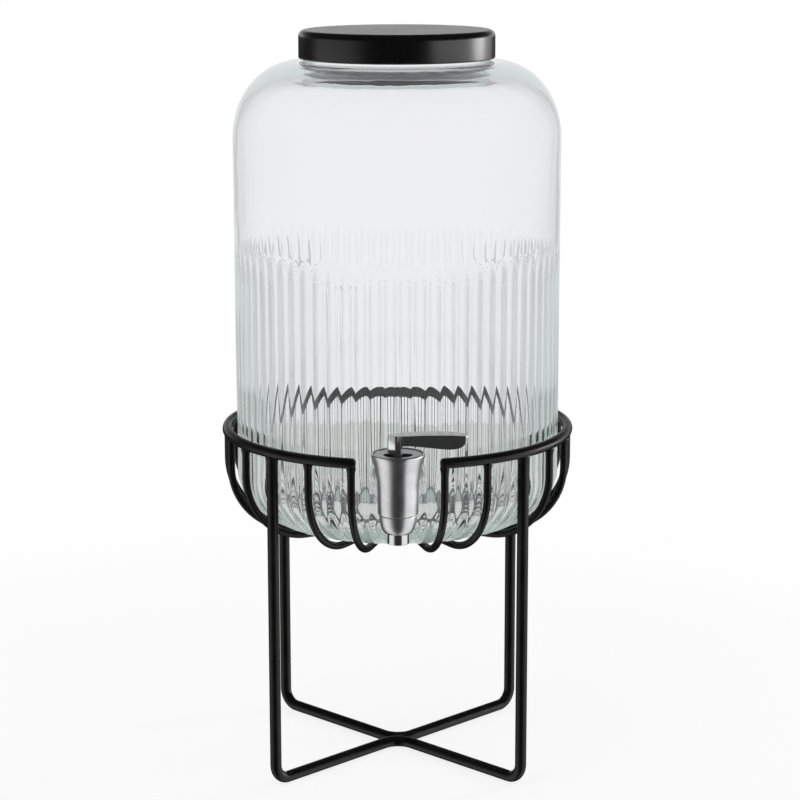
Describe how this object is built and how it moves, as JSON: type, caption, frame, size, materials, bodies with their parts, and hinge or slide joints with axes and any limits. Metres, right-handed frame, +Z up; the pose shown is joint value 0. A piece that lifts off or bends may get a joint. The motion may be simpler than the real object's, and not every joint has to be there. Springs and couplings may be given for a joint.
{
  "type": "glass beverage dispenser",
  "caption": "Fluted clear glass jar with a black screw lid and a steel lever tap, held in a black bent-wire stand whose legs cross under it.",
  "frame": {"origin": "on the floor, under the centre of the whole object's box; the jar's axis is 14.25 mm behind it", "axes": "+Z up; the tap is at the front, towards -Y; its lever points to +X, the right of someone facing the tap"},
  "size_m": [0.218, 0.2468, 0.455],
  "materials": {
    "black_coating": "satin black powder coat on steel wire",
    "jar_glass": "clear, smooth, slightly grey at the edges",
    "lid_coating": "satin black on sheet steel",
    "brushed_tap": "finely brushed stainless steel",
    "polished_tap": "polished stainless steel",
    "silicone": "soft white silicone"
  },
  "bodies": {
    "stand": {"top_ring": "black_coating", "rib_right_15": "black_coating", "rib_left_15": "black_coating", "rib_right_30": "black_coating", "rib_left_30": "black_coating", "rib_right_60": "black_coating", "rib_left_60": "black_coating", "rib_right_75": "black_coating", "rib_left_75": "black_coating", "rib_right_90": "black_coating", "rib_left_90": "black_coating", "rib_right_105": "black_coating", "rib_left_105": "black_coating", "rib_right_120": "black_coating", "rib_left_120": "black_coating", "rib_right_150": "black_coating", "rib_left_150": "black_coating", "rib_right_165": "black_coating", "rib_left_165": "black_coating", "rib_back": "black_coating", "base_ring": "black_coating", "front_leg_frame": "black_coating", "rear_leg_frame": "black_coating"},
    "jar": {"glass_jar": "jar_glass", "tap_body": "brushed_tap", "tap_outlet": "polished_tap", "tap_bonnet": "brushed_tap", "outer_washer": "silicone", "inner_washer": "silicone", "lock_nut": "brushed_tap"},
    "valve": {"valve_stem": "polished_tap", "valve_plug": "silicone", "valve_spring": "polished_tap"},
    "lever": {"tap_lever": "polished_tap", "lever_pin": "polished_tap"},
    "lid_seal": {"lid_gasket": "silicone"},
    "lid": {"lid_shell": "lid_coating"}
  },
  "joints": [
    {"name": "jar_lift", "type": "slide", "parent": "stand", "child": "jar", "axis": [0, 0, 1], "range_m": [0, 0.07]},
    {"name": "valve_lift", "type": "slide", "parent": "jar", "child": "valve", "axis": [0, 0, 1], "range_m": [0, 0.0029], "stiffness_N_per_m": 200, "springref_m": -0.005, "deforming": ["valve_spring"]},
    {"name": "lever_tilt", "type": "hinge", "parent": "valve", "child": "lever", "pos_m": [0, -0.10775, 0.21725], "axis": [0, -1, 0], "range_deg": [0, 45]},
    {"name": "lid_rise", "type": "slide", "parent": "jar", "child": "lid_seal", "axis": [0, 0, 1], "range_m": [0, 0.0092]},
    {"name": "lid_turn", "type": "hinge", "parent": "lid_seal", "child": "lid", "pos_m": [0, 0.01425, 0.4525], "axis": [0, 0, 1], "range_deg": [0, 540]}
  ],
  "couplings": [
    {"joint": "valve_lift", "follows": "lever_tilt", "m_per_rad": 0.0036},
    {"joint": "lid_rise", "follows": "lid_turn", "m_per_rad": 0.000955}
  ]
}
